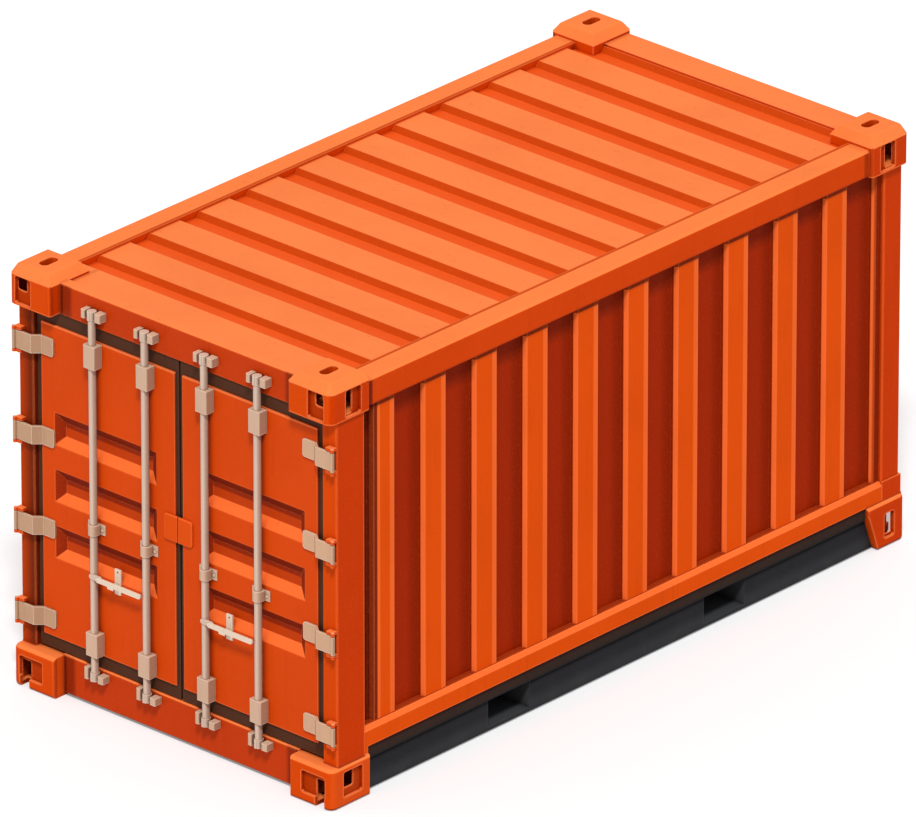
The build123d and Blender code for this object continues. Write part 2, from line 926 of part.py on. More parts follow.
def lock_bar(x, carries_handle):
    """Upright lock bar with a nosed cam at each end, and a handle pivot where it has one."""
    axis_y = front + bar_setback
    handle_back = front + handle_front + handle_thickness
    with BuildPart() as bar:
        with Locations((x, axis_y, (bar_bottom + bar_top) / 2)):
            Cylinder(bar_radius, bar_top - bar_bottom)
        for low in (bar_bottom, bar_top - cam_height):
            with Locations((x, axis_y, low + cam_height / 2)):
                Cylinder(cam_radius, cam_height)
            block(
                x - cam_nose / 2, x + cam_nose / 2, axis_y - cam_nose_reach, axis_y,
                low, low + cam_height)
        if carries_handle:
            with BuildSketch(Plane.XZ.offset(-handle_back - pivot_gap)):
                with Locations((x + pivot_offset / 2, handle_z)):
                    SlotCenterToCenter(pivot_offset, handle_height)
            extrude(amount=-(front + ear_back - handle_back - pivot_gap))
            with BuildSketch(Plane.XZ.offset(-handle_back - pivot_gap)):
                with Locations((x + pivot_offset, handle_z)):
                    Circle(pivot_radius)
            extrude(amount=handle_thickness + pivot_gap)
    return bar.part


def cam_keepers():
    """Pairs of lugs on the header and sill on both sides of each cam."""
    near = front + keeper_front
    far = front + header_face
    with BuildPart() as keepers:
        for x in (-outer_bar_x, -inner_bar_x, inner_bar_x, outer_bar_x):
            for low, left_tall, right_tall in (
                (bar_bottom, keeper_post_tall, keeper_block_tall),
                (bar_top - cam_height, cam_height, cam_height),
            ):
                block(x - keeper_left, x - keeper_gap, near, far, low, low + left_tall)
                block(x + keeper_gap, x + keeper_right, near, far, low, low + right_tall)
        front_edges = keepers.edges().filter_by(Axis.Z).group_by(Axis.Y)[0]
        fillet(front_edges, keeper_radius)
    return keepers.part


def lever(x):
    """Flat handle to the right of a lock bar, with the eye of its pivot."""
    start = x + pivot_offset
    end = x + bar_spacing - handle_end_gap
    radius = handle_height / 2
    with BuildPart() as handle:
        with BuildSketch(Plane.XZ.offset(-front - handle_front)):
            with Locations(((start - radius + end) / 2, handle_z)):
                SlotOverall(end - start + radius, handle_height)
            with Locations((start, handle_z)):
                Circle(pivot_radius + pivot_clearance, mode=Mode.SUBTRACT)
        extrude(amount=-handle_thickness)
    return handle.part


def handle_catch(x):
    """Plate on the leaf behind the handle, with the ledge that carries it."""
    middle = x + catch_offset
    left = middle - catch_width / 2
    right = middle + catch_width / 2
    face = front + door_face - catch_plate
    low = handle_z - handle_height / 2 - catch_below
    high = handle_z + handle_height / 2 + catch_above
    seat = handle_z - handle_height / 2 - catch_seat
    with BuildPart() as catch:
        block(left, right, face, front + door_face, low, high)
        block(left, right, front + handle_front, face, seat - catch_ledge, seat)
        with BuildSketch(Plane.XZ.offset(-face)):
            with Locations((middle, high - catch_hole_drop)):
                Circle(catch_hole_radius)
        extrude(amount=-catch_plate, mode=Mode.SUBTRACT)
    return catch.part


def lock_plate():
    """Right half of the raised plate over the seam, with a bevelled rim."""
    near = front + door_face - plate_thickness
    with BuildPart() as plate:
        block(
            plate_seam, plate_reach, near, front + door_face,
            plate_bottom, plate_bottom + plate_tall)
        fillet(plate.edges().filter_by(Axis.Y).sort_by(Axis.X)[-2:], plate_radius)
        rim = plate.faces().sort_by(Axis.Y)[0].edges().sort_by(Axis.X)[1:]
        chamfer(rim, plate_bevel)
    return plate.part


upper_casting = top_casting()
export(four_castings(upper_casting, upper_casting), "corner_castings_top")
export(
    four_castings(
        bottom_casting(casting_bottom_height, False), bottom_casting(bottom_rail_bottom, True)),
    "corner_castings_bottom")

for make, name in (
    (door_post, "door_post"),
    (blind_post, "blind_end_post"),
    (top_side_rail, "top_side_rail"),
    (bottom_side_rail, "bottom_side_rail"),
    (side_wall, "side_wall"),
    (door_panel, "door_panel"),
    (door_frame, "door_frame"),
    (door_gasket, "door_gasket"),
    (door_hinges, "door_hinges"),
    (bar_guides, "bar_guides"),
    (lock_plate, "lock_plate"),
):
    right_part = make()
    export(right_part, "right_" + name)
    export(mirrored(right_part), "left_" + name)

export(door_header(), "door_header")
export(front_header(), "front_header")
export(door_sill(), "door_sill")
export(front_sill(), "front_sill")
export(underframe_beams(), "underframe_beams")
export(forklift_pockets(), "forklift_pockets")
export(cross_members(), "cross_members")
export(floor_deck(), "floor_deck")
export(end_wall(), "end_wall")
export(roof_panel(), "roof_panel")
export(hinge_lugs(), "hinge_lugs")
export(cam_keepers(), "cam_keepers")

for x, carries_handle, name in (
    (-outer_bar_x, True, "left_outer_bar"),
    (-inner_bar_x, False, "left_inner_bar"),
    (inner_bar_x, True, "right_inner_bar"),
    (outer_bar_x, False, "right_outer_bar"),
):
    export(lock_bar(x, carries_handle), name)

export(lever(-outer_bar_x), "left_handle")
export(lever(inner_bar_x), "right_handle")
export(handle_catch(-outer_bar_x), "left_handle_catch")
export(handle_catch(inner_bar_x), "right_handle_catch")
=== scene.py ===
"""Finishes and small trim of a short shipping container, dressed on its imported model.

Metres, in the model's own frame: +Z up, the doors at -Y, the blind end at +Y and
the origin on the ground under the middle.
"""
import math
import random

import bpy
from mathutils import Matrix, Vector


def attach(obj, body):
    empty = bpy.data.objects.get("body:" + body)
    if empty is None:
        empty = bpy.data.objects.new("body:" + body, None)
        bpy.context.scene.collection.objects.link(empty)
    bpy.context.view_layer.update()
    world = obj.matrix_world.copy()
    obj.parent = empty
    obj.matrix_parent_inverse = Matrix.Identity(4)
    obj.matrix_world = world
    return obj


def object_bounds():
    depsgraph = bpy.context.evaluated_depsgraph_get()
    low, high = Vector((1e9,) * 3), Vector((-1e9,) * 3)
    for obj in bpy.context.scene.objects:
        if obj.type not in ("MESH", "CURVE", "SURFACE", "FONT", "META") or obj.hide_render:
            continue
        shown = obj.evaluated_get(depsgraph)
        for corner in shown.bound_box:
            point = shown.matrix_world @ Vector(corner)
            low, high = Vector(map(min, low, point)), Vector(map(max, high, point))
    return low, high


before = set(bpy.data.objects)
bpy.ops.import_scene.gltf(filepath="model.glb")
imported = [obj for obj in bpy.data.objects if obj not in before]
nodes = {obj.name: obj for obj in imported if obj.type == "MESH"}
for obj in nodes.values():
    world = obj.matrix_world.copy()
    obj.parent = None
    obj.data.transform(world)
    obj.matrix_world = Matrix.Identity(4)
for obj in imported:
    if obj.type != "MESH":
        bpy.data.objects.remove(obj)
model_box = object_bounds()


def box(name):
    """Low and high corner of a node, in the model's own frame."""
    corners = nodes[name].bound_box
    return tuple(corners[0]), tuple(corners[6])


# Places on the model that finishes and trim are set out from
SIDE, BACK, HEIGHT = model_box[1]
FRONT = -BACK
(_, _, RAIL_BOTTOM), (_, RAIL_END, RAIL_TOP) = box("right_top_side_rail")
(_, POST_FRONT, FOOT_TOP), (POST_OUTER, POST_BACK, _) = box("right_door_post")
(BLIND_POST_INNER, BLIND_POST_NEAR, BLIND_FOOT_TOP), (BLIND_POST_OUTER, BLIND_POST_FAR, _) = box(
    "right_blind_end_post")
(WALL_BACK, _, BOTTOM_RAIL_TOP), (WALL_FACE, _, _) = box("right_side_wall")
END_WALL_FACE = box("end_wall")[1][1]
(_, ROOF_NEAR, ROOF_UNDERSIDE), (ROOF_HALF_WIDTH, _, ROOF_FACE) = box("roof_panel")
(_, DOOR_FACE, _), (_, _, LEAF_TOP) = box("right_door_panel")
FLOOR_TOP = box("floor_deck")[1][2]
BEAM_TOP = box("underframe_beams")[1][2]
FIRST_MEMBER_NEAR = box("cross_members")[0][1]

# Sizes of castings, posts and pressed sheets
CASTING = BACK - RAIL_END
CASTING_INNER = SIDE - CASTING
CASTING_RECESS = 0.02
CASTING_SKIN = 0.024
POST_INNER = POST_OUTER - 0.11
POST_ROUND = 0.012
BLIND_POST_STEP = 0.008
BEAM_LIP_BOTTOM = 0.215
SHEET = 0.0025
WALL_DEPTH = WALL_FACE - WALL_BACK - SHEET
WALL_PITCH = 0.417
WALL_RIDGE = 0.165
WALL_SLOPE = 0.02
WALL_FIRST = FRONT + 0.402
END_WALL_FIRST = -2 * WALL_PITCH - WALL_RIDGE / 2
ROOF_DEPTH = ROOF_FACE - ROOF_UNDERSIDE - SHEET
ROOF_PITCH = 0.402
ROOF_GROOVE = 0.108
ROOF_SLOPE = 0.028
ROOF_FIRST = FRONT + 0.415
SWAGE_DEPTH = 0.034
SWAGE_MIDDLE = 1.283
SWAGE_PITCH = 0.348

PLYWOOD_SHEET = (0.6, 1.2)

# Trim: weld beads, the bolts of the bar clamps and the screws of the floor
WALL_BEAD = 0.0045
ROOF_BEAD = 0.004
ROOF_BEAD_LIFT = 0.001
FRAME_BEAD = 0.005
FRAME_BEAD_START = 0.006
BEAD_SIDES = 7
RIPPLE = 0.009
RINGS_IN_RIPPLE = 3
BAR_PLACES = (0.225, 0.625)
CLAMP_FACE = DOOR_FACE - 0.008
CLAMP_HEIGHT = 1.127
CLAMP_BOLT_REACH = 0.049
BOLT_RADIUS = 0.009
BOLT_HEIGHT = 0.008
SCREW_RADIUS = 0.0065
SCREW_HEIGHT = 0.0008
SCREW_SUNK = 0.0002
SCREW_ROWS = 11
SCREWS_IN_ROW = 15
SCREW_ROW_REACH = 1.05
CROSS_MEMBER_WIDTH = 0.045
SCREW_ROW_FIRST = FIRST_MEMBER_NEAR + CROSS_MEMBER_WIDTH / 2

RIGHT = Vector((1, 0, 0))
UP = Vector((0, 0, 1))
OUTWARD = Vector((0, -1, 0))

# The photograph's frame and camera
IMAGE_WIDTH = 916
IMAGE_HEIGHT = 817
AZIMUTH = math.radians(42.529)
ELEVATION = math.radians(25.026)
CAMERA_DISTANCE = 100
CAMERA_RANGE = (1, 1000)
PIXELS_PER_METRE = 178.04
CENTRE_PIXEL = (462.85, 402.01)
SENSOR = 36

# Light and ground
SKY_STRENGTH = 0.6
BACKDROP_STRENGTH = 1.0
LAMP_STRENGTH = 2.6
LAMP_ANGLE = math.radians(9)
LAMP_TOWARDS = Vector((0.40, -0.44, 0.80))
LAMP_DISTANCE = 10
GROUND_REACH = 400
GROUND_TONE = (0.72, 0.72, 0.72, 1)
GROUND_GLOW = 0.2

# Edges that bend by less than this shade smooth, and points this close count as one
SMOOTH_BELOW = math.radians(26)
WELD_DISTANCE = 0.00001

random.seed(7)


def linear(value):
    value /= 255
    return value / 12.92 if value <= 0.04045 else ((value + 0.055) / 1.055) ** 2.4


def colour(red, green, blue):
    return (linear(red), linear(green), linear(blue), 1.0)


# Orange tones. Besides the base coat and the bead tone, these are painted light: lit and shaded
# copies of the coat for the ends, sides and tops, painted highlights along edges and ridges, and
# painted shade in grooves, seams and recesses
ORANGE = colour(216, 75, 2)
ORANGE_PAINTED_LIGHT = colour(238, 106, 46)
ORANGE_EDGE_HIGHLIGHT = colour(246, 122, 66)
ORANGE_SHADE = colour(120, 24, 0)
ORANGE_SEAM_SHADE = colour(84, 18, 4)
ORANGE_GROOVE_SHADE = colour(134, 18, 0)
ORANGE_TOP_LIT = colour(235, 121, 61)
ORANGE_TOP_HALF_SHADE = colour(222, 81, 22)
ORANGE_TOP_SHADE = colour(187, 62, 3)
ORANGE_FRONT = colour(209, 68, 3)
ORANGE_FLANK = colour(192, 54, 0)
ORANGE_RAIL = colour(202, 62, 2)
ORANGE_HEADER = colour(190, 56, 4)
ORANGE_FOOT = colour(208, 74, 16)
ORANGE_BEAD = colour(150, 38, 2)
ORANGE_TOP_BEAD_LIT = colour(196, 66, 14)
# Painted shade on the left door post
POST_SHADE = colour(62, 24, 12)
RUST = colour(104, 50, 26)
# Cream hardware. The darker hinge tone is painted shade on the left leaf, the edge tone is a
# painted highlight, and the deep tone serves as painted shade on flanks and in crevices and as
# stains on bare steel
CREAM = colour(202, 166, 139)
BAR = colour(204, 177, 158)
HINGE = colour(202, 159, 125)
HINGE_SHADE = colour(184, 142, 109)
HANDLE = colour(224, 203, 180)
CREAM_EDGE_HIGHLIGHT = colour(238, 220, 198)
CREAM_DEEP = colour(104, 70, 50)
# Rubber and charcoal: the edge tones are painted highlights, and the deep tones serve as painted
# shade in crevices and as dark joints in the floor
RUBBER = colour(77, 43, 25)
RUBBER_EDGE_HIGHLIGHT = colour(108, 82, 68)
CHARCOAL = colour(35, 35, 38)
CHARCOAL_EDGE_HIGHLIGHT = colour(70, 70, 73)
CHARCOAL_DEEP = colour(14, 14, 15)
CHARCOAL_LIGHT = colour(58, 59, 61)
LIP_RUST = colour(54, 34, 22)
# Painted shadow along the top of the beams, under the rails
RAIL_SHADOW_RED = colour(40, 8, 4)
DUST = colour(78, 70, 62)
WOOD = colour(142, 98, 62)
WOOD_DARK = colour(88, 56, 34)
STEEL = colour(150, 140, 128)

# Shine of a coat at the ends and on the roof, and along the sides
SHINE = 0.06
SIDE_SHINE = 0.025
COAT_ROUGHNESS = 0.5


class Finish:
    """A material whose node tree is built step by step, in object coordinates."""

    def __init__(self, name, roughness, specular=SHINE):
        self.material = bpy.data.materials.new(name)
        self.material.use_nodes = True
        self.tree = self.material.node_tree
        self.shader = self.tree.nodes["Principled BSDF"]
        self.shader.inputs["Specular IOR Level"].default_value = specular
        self.roughness = roughness
        coordinates = self.node("ShaderNodeTexCoord")
        self.place = coordinates.outputs["Object"]
        split = self.node("ShaderNodeSeparateXYZ", Vector=self.place)
        self.x, self.y, self.z = split.outputs
        self.across = self.math("ABSOLUTE", self.x)
        self.along = self.math("ABSOLUTE", self.y)
        facing = self.node("ShaderNodeSeparateXYZ", Vector=coordinates.outputs["Normal"])
        self.facing_x, self.facing_y, self.facing_z = facing.outputs

    def node(self, kind, settings=None, **inputs):
        made = self.tree.nodes.new(kind)
        for name, value in (settings or {}).items():
            setattr(made, name, value)
        for name, value in inputs.items():
            self.put(made.inputs[name.replace("_", " ")], value)
        return made

    def put(self, socket, value):
        if isinstance(value, bpy.types.NodeSocket):
            self.tree.links.new(value, socket)
        else:
            socket.default_value = value

    def math(self, operation, *values):
        made = self.node("ShaderNodeMath", {"operation": operation})
        for socket, value in zip(made.inputs, values):
            self.put(socket, value)
        return made.outputs[0]

    def times(self, first, *others):
        for other in others:
            first = self.math("MULTIPLY", first, other)
        return first

    def largest(self, first, *others):
        for other in others:
            first = self.math("MAXIMUM", first, other)
        return first

    def mix(self, share, first, second):
        made = self.node("ShaderNodeMix", {"data_type": "RGBA"})
        self.put(made.inputs[0], share)
        self.put(made.inputs[6], first)
        self.put(made.inputs[7], second)
        return made.outputs[2]

    def step(self, value, low, high):
        """0 at low and 1 at high, with a smooth ramp between; low may be the larger."""
        made = self.node(
            "ShaderNodeMapRange", {"interpolation_type": "SMOOTHSTEP"}, Value=value,
            From_Min=low, From_Max=high)
        return made.outputs[0]

    def band(self, value, low, high, soft=0.002):
        """1 between low and high."""
        rise = self.step(value, low - soft, low + soft)
        fall = self.step(value, high + soft, high - soft)
        return self.times(rise, fall)

    def faces_up(self):
        """1 on faces that look up, and 0 on upright and lower ones."""
        return self.step(self.facing_z, 0.35, 0.5)

    def faces_doors(self):
        """1 on faces that look the way the doors do."""
        return self.step(self.facing_y, -0.5, -0.8)

    def at_door_end(self):
        """1 at the door end and 0 in the blind half."""
        return self.step(self.y, 0.0, FRONT / 2)

    def is_low(self):
        """1 up to the top of the bottom rails and 0 in the upper half."""
        return self.step(self.z, HEIGHT / 2, BOTTOM_RAIL_TOP)

    def scaled(self, x, y, z):
        """Coordinates stretched along each axis, for streaks."""
        made = self.node("ShaderNodeMapping", Vector=self.place, Scale=(x, y, z))
        return made.outputs[0]

    def noise(self, scale, detail=3.0, roughness=0.55, vector=None):
        made = self.node(
            "ShaderNodeTexNoise", Vector=vector or self.place, Scale=scale, Detail=detail,
            Roughness=roughness)
        return made.outputs[0]

    def edges(self, radius):
        """1 along sharp outer edges, fading to 0 within the radius."""
        bevel = self.node("ShaderNodeBevel", {"samples": 4}, Radius=radius)
        geometry = self.node("ShaderNodeNewGeometry")
        both = self.node("ShaderNodeVectorMath", {"operation": "DOT_PRODUCT"})
        self.put(both.inputs[0], bevel.outputs[0])
        self.put(both.inputs[1], geometry.outputs["Normal"])
        open_air = self.node(
            "ShaderNodeAmbientOcclusion", {"samples": 4, "only_local": True}, Distance=radius * 2)
        bent = self.step(both.outputs["Value"], 0.995, 0.9)
        free = self.step(open_air.outputs["AO"], 0.75, 0.95)
        return self.times(bent, free)

    def crevice_shade(self, distance):
        """1 deep in corners and seams, where painted shade goes."""
        closed = self.node("ShaderNodeAmbientOcclusion", {"samples": 6}, Distance=distance)
        return self.step(closed.outputs["AO"], 0.78, 0.25)

    def finish(self, base, height, strength, distance=0.002):
        """Wires the colour, the bump and an uneven roughness into the shader."""
        self.put(self.shader.inputs["Base Color"], base)
        bump = self.node("ShaderNodeBump", Strength=strength, Distance=distance, Height=height)
        self.put(self.shader.inputs["Normal"], bump.outputs[0])
        uneven = self.noise(9.0, 4.0)
        low, high = self.roughness - 0.08, self.roughness + 0.1
        spread = self.node("ShaderNodeMapRange", Value=uneven, To_Min=low, To_Max=high)
        self.put(self.shader.inputs["Roughness"], spread.outputs[0])
        return self.material


def weathered_and_painted_light(
        paint, base, edge_radius, highlight_share, shade_reach, crevice_shade_share, edge=ORANGE_EDGE_HIGHLIGHT,
        deep=ORANGE_SHADE):
    """Colour of a coat: uneven in tone, with a painted highlight along its edges and painted shade
    in its corners and seams.
    """
    clouds = paint.step(paint.noise(1.6, 4.0), 0.35, 0.7)
    tone = paint.mix(paint.times(clouds, 0.08), base, deep)
    streaks = paint.step(paint.noise(3.0, 3.0, vector=paint.scaled(9.0, 9.0, 0.5)), 0.56, 0.8)
    tone = paint.mix(paint.times(streaks, 0.12), tone, deep)
    light = paint.times(paint.step(paint.noise(60.0, 2.0), 0.5, 0.9), 0.10)
    tone = paint.mix(light, tone, edge)
    # Painted highlight along the edges
    edge_highlight = paint.times(paint.edges(edge_radius), highlight_share)
    tone = paint.mix(edge_highlight, tone, edge)
    # Painted shade in corners and seams
    shade_mask = paint.times(paint.crevice_shade(shade_reach), crevice_shade_share)
    return paint.mix(shade_mask, tone, deep)


def rusted(paint, tone, share):
    """Small rust specks, thicker near the ground."""
    specks = paint.step(paint.noise(38.0, 5.0, 0.7), 0.70, 0.76)
    patches = paint.step(paint.noise(2.3, 3.0), 0.52, 0.62)
    low = paint.math("MULTIPLY_ADD", paint.step(paint.z, 1.2, 0.0), 0.6, 0.4)
    return paint.mix(paint.times(specks, patches, low, share), tone, RUST)


def orange_peel(paint):
    """Height of a sprayed coat: fine dimples over slow dents in the plate."""
    peel = paint.times(paint.noise(240.0, 2.0), 0.25)
    dents = paint.times(paint.noise(4.0, 2.0), 1.6)
    return paint.math("ADD", peel, dents)


def coat(paint, front, flank, top):
    """Coat painted lit and shaded by the way a face looks: one tone for the ends, one for the long
    sides, and a lighter one for the top.
    """
    sideways = paint.step(paint.math("ABSOLUTE", paint.facing_x), 0.45, 0.8)
    tone = paint.mix(sideways, front, flank)
    return paint.mix(paint.faces_up(), tone, top)


def seams(paint, tone, places, share):
    """Dark lines where frame members meet, painted as shade in the joints; each place is a
    coordinate and its two ends.
    """
    lines = [paint.band(value, low, high) for value, low, high in places]
    return paint.mix(paint.times(paint.largest(*lines), share), tone, ORANGE_SEAM_SHADE)


def less_on_top(paint, share):
    """Share of a joint's painted shade, cut to a quarter on faces that look up."""
    return paint.math("MULTIPLY_ADD", paint.faces_up(), -0.75 * share, share)


def in_recess(paint, depthwise, face, sideways, edge):
    """1 in the recess of a casting's face, away from the casting's outer edge."""
    return paint.times(
        paint.band(depthwise, face - CASTING_RECESS - 0.006, face - 0.004),
        paint.step(sideways, edge - 0.03, edge - 0.05))


def in_casting(paint, value, face):
    """1 between the two walls of a casting, measured along one axis."""
    return paint.times(
        paint.step(value, face - CASTING_SKIN, face - CASTING_SKIN - 0.006),
        paint.step(value, face - CASTING + 0.004, face - CASTING + 0.012))


def casting_paint():
    """Castings, with painted shade in their recesses and inside their hollow, and a lighter flank
    on the door-end feet as painted light.
    """
    paint = Finish("casting_orange", COAT_ROUGHNESS, SIDE_SHINE)
    door_feet = paint.times(paint.is_low(), paint.at_door_end())
    flank = paint.mix(door_feet, ORANGE_FLANK, ORANGE_FOOT)
    tone = coat(paint, ORANGE_FRONT, flank, ORANGE_TOP_LIT)
    upright = paint.step(paint.math("ABSOLUTE", paint.facing_z), 0.3, 0.1)
    # Painted shade in the recesses of the faces, and darker still inside the hollow between the
    # walls
    recess = paint.largest(
        in_recess(paint, paint.along, BACK, paint.across, SIDE),
        in_recess(paint, paint.across, SIDE, paint.along, BACK))
    tone = paint.mix(paint.times(recess, upright, 0.5), tone, ORANGE_SHADE)
    inside = paint.times(
        in_casting(paint, paint.across, SIDE), in_casting(paint, paint.along, BACK),
        paint.step(paint.z, HEIGHT - 0.03, HEIGHT - 0.05))
    tone = paint.mix(paint.times(inside, upright, 0.9), tone, ORANGE_SEAM_SHADE)
    tone = weathered_and_painted_light(paint, tone, edge_radius=0.016, highlight_share=0.9, shade_reach=0.04, crevice_shade_share=0.8)
    tone = rusted(paint, tone, 0.7)
    return paint.finish(tone, orange_peel(paint), strength=0.25)


def rail_paint():
    """Side rails: painted light on the bevels and faces of the lower ones, and painted shade on
    their flat tops, at the castings of the upper ones and beside the roof.
    """
    paint = Finish("rail_orange", COAT_ROUGHNESS, SIDE_SHINE)
    tone = coat(paint, ORANGE_FRONT, ORANGE_RAIL, ORANGE_TOP_LIT)
    low = paint.is_low()
    tone = paint.mix(paint.times(paint.faces_up(), low), tone, ORANGE_PAINTED_LIGHT)
    upright = paint.step(paint.facing_z, 0.35, 0.2)
    tone = paint.mix(paint.times(upright, low), tone, ORANGE)
    # Painted shade on the flat tops of the lower rails
    ledge = paint.step(paint.facing_z, 0.85, 0.95)
    tone = paint.mix(paint.times(ledge, low, 0.8), tone, ORANGE_SHADE)
    high = paint.math("SUBTRACT", 1.0, low)
    # Painted shade on the upper rails next to the castings, stronger at the door end
    joint = paint.step(paint.along, RAIL_END - 0.052, RAIL_END - 0.034)
    stronger_at_doors = paint.math("MULTIPLY_ADD", paint.at_door_end(), 0.45, 0.55)
    shade_mask = paint.times(joint, high, stronger_at_doors, less_on_top(paint, 0.85))
    tone = paint.mix(shade_mask, tone, ORANGE_SEAM_SHADE)
    # Painted shade along the roof's edge on top of the rails
    on_top = paint.step(paint.z, RAIL_TOP - 0.012, RAIL_TOP - 0.006)
    beside_roof = paint.band(paint.across, ROOF_HALF_WIDTH - 0.01, ROOF_HALF_WIDTH + 0.022)
    tone = paint.mix(paint.times(on_top, beside_roof, 0.9), tone, ORANGE_TOP_SHADE)
    tone = weathered_and_painted_light(paint, tone, edge_radius=0.012, highlight_share=0.6, shade_reach=0.05, crevice_shade_share=0.7)
    tone = rusted(paint, tone, 0.7)
    return paint.finish(tone, orange_peel(paint), strength=0.25)


def header_paint():
    """Headers and sills across both ends, with painted shade beside and at the castings."""
    paint = Finish("header_orange", COAT_ROUGHNESS)
    tone = coat(paint, ORANGE_HEADER, ORANGE_FLANK, ORANGE_TOP_LIT)
    # Painted shade on the door end's front faces beside the castings
    joint = paint.step(paint.across, CASTING_INNER - 0.105, CASTING_INNER - 0.07)
    ahead = paint.times(paint.faces_doors(), paint.at_door_end())
    tone = paint.mix(paint.times(joint, ahead, 0.6), tone, ORANGE_SEAM_SHADE)
    tone = seams(
        paint, tone, [(paint.across, CASTING_INNER - 0.022, CASTING_INNER + 0.01)],
        less_on_top(paint, 0.85))
    tone = weathered_and_painted_light(paint, tone, edge_radius=0.012, highlight_share=0.55, shade_reach=0.07, crevice_shade_share=0.8)
    tone = rusted(paint, tone, 0.7)
    return paint.finish(tone, orange_peel(paint), strength=0.25)


def post_paint(name, shade_share):
    """Posts, with painted shade towards the doors where the share is above 0."""
    paint = Finish(name, COAT_ROUGHNESS, SIDE_SHINE)
    tone = coat(paint, ORANGE_FRONT, ORANGE_FLANK, ORANGE_TOP_LIT)
    if shade_share:
        # Painted shade over the post's front, darkest towards the doors and on its hidden inner
        # face
        shaded_inward = paint.step(paint.across, POST_OUTER - 0.005, POST_INNER)
        ahead = paint.step(paint.facing_y, -0.3, -0.7)
        tone = paint.mix(paint.times(ahead, 0.45 * shade_share), tone, POST_SHADE)
        tone = paint.mix(paint.times(ahead, shaded_inward, shade_share), tone, POST_SHADE)
        hidden = paint.step(paint.across, POST_INNER + 0.003, POST_INNER + 0.001)
        tone = paint.mix(paint.times(hidden, 0.9), tone, POST_SHADE)
    feet = (paint.z, FOOT_TOP - 0.01, FOOT_TOP + 0.006)
    heads = (paint.z, RAIL_BOTTOM - 0.01, RAIL_BOTTOM + 0.01)
    tone = seams(paint, tone, [feet, heads], 0.7)
    tone = weathered_and_painted_light(paint, tone, edge_radius=0.012, highlight_share=0.7, shade_reach=0.05, crevice_shade_share=0.8)
    tone = rusted(paint, tone, 0.7)
    return paint.finish(tone, orange_peel(paint), strength=0.25)


def side_wall_marks(paint, tone, depth, groove):
    """Shade and light of the side walls: each ridge with a light strip along both edges."""
    turned = paint.math("SUBTRACT", paint.y, WALL_FIRST)
    turns = paint.math("FRACT", paint.math("DIVIDE", turned, WALL_PITCH))
    place = paint.times(turns, WALL_PITCH)
    groove_end = WALL_PITCH - WALL_SLOPE
    shade = paint.times(
        groove, paint.step(place, groove_end - 0.107, groove_end - 0.037),
        paint.step(place, groove_end + 0.013, groove_end - 0.001), 0.35)
    tone = paint.mix(shade, tone, ORANGE_SEAM_SHADE)
    strip = paint.band(place, WALL_RIDGE - 0.036, WALL_RIDGE + 0.004, 0.003)
    strip = paint.times(strip, paint.step(depth, 0.004, 0.001), 0.7)
    tone = paint.mix(strip, tone, ORANGE_PAINTED_LIGHT)
    facing_doors = paint.times(paint.faces_doors(), 0.9)
    outer_part = paint.step(depth, WALL_DEPTH - 0.009, WALL_DEPTH - 0.014)
    tone = paint.mix(paint.times(facing_doors, outer_part), tone, ORANGE_PAINTED_LIGHT)
    inner_part = paint.math("SUBTRACT", 1.0, outer_part)
    tone = paint.mix(paint.times(facing_doors, inner_part), tone, ORANGE_SHADE)
    first_strip = paint.band(paint.y, WALL_FIRST + 0.028, WALL_FIRST + 0.05)
    tone = paint.mix(paint.times(first_strip, 0.8), tone, ORANGE_PAINTED_LIGHT)
    # Painted shade beside the door post and, further on, beside the blind-end post
    near_corner = paint.step(paint.y, WALL_FIRST + 0.03, WALL_FIRST + 0.024)
    tone = paint.mix(paint.times(near_corner, 0.85), tone, ORANGE_SEAM_SHADE)
    far_corner = paint.step(paint.y, BLIND_POST_NEAR - 0.055, BLIND_POST_NEAR - 0.045)
    return paint.mix(paint.times(far_corner, 0.95), tone, ORANGE_SHADE)


def wall_paint():
    """Side and end walls: painted shade in the grooves, and a painted shadow under the top rails.
    """
    paint = Finish("wall_orange", COAT_ROUGHNESS, SIDE_SHINE)
    at_side = paint.step(paint.across, WALL_FACE - 0.08, WALL_FACE - 0.07)
    depth_side = paint.math("SUBTRACT", WALL_FACE, paint.across)
    depth_end = paint.math("SUBTRACT", END_WALL_FACE, paint.y)
    shift = paint.math("SUBTRACT", depth_side, depth_end)
    depth = paint.math("MULTIPLY_ADD", shift, at_side, depth_end)
    groove = paint.step(depth, 0.004, WALL_DEPTH - 0.004)
    tone = paint.mix(paint.times(groove, 0.82), ORANGE, ORANGE_GROOVE_SHADE)
    tone = paint.mix(at_side, tone, side_wall_marks(paint, tone, depth, groove))
    # Painted shadow of the top rails, in the grooves and along the wall's top
    rail_shadow = paint.step(paint.z, RAIL_BOTTOM - 0.18, RAIL_BOTTOM - 0.12)
    tone = paint.mix(paint.times(rail_shadow, groove, 0.4), tone, ORANGE_SEAM_SHADE)
    tone = seams(paint, tone, [(paint.z, RAIL_BOTTOM - 0.031, RAIL_BOTTOM + 0.01)], 0.8)
    tone = weathered_and_painted_light(paint, tone, edge_radius=0.008, highlight_share=0.4, shade_reach=0.06, crevice_shade_share=0.5)
    tone = rusted(paint, tone, 0.6)
    return paint.finish(tone, orange_peel(paint), strength=0.3)


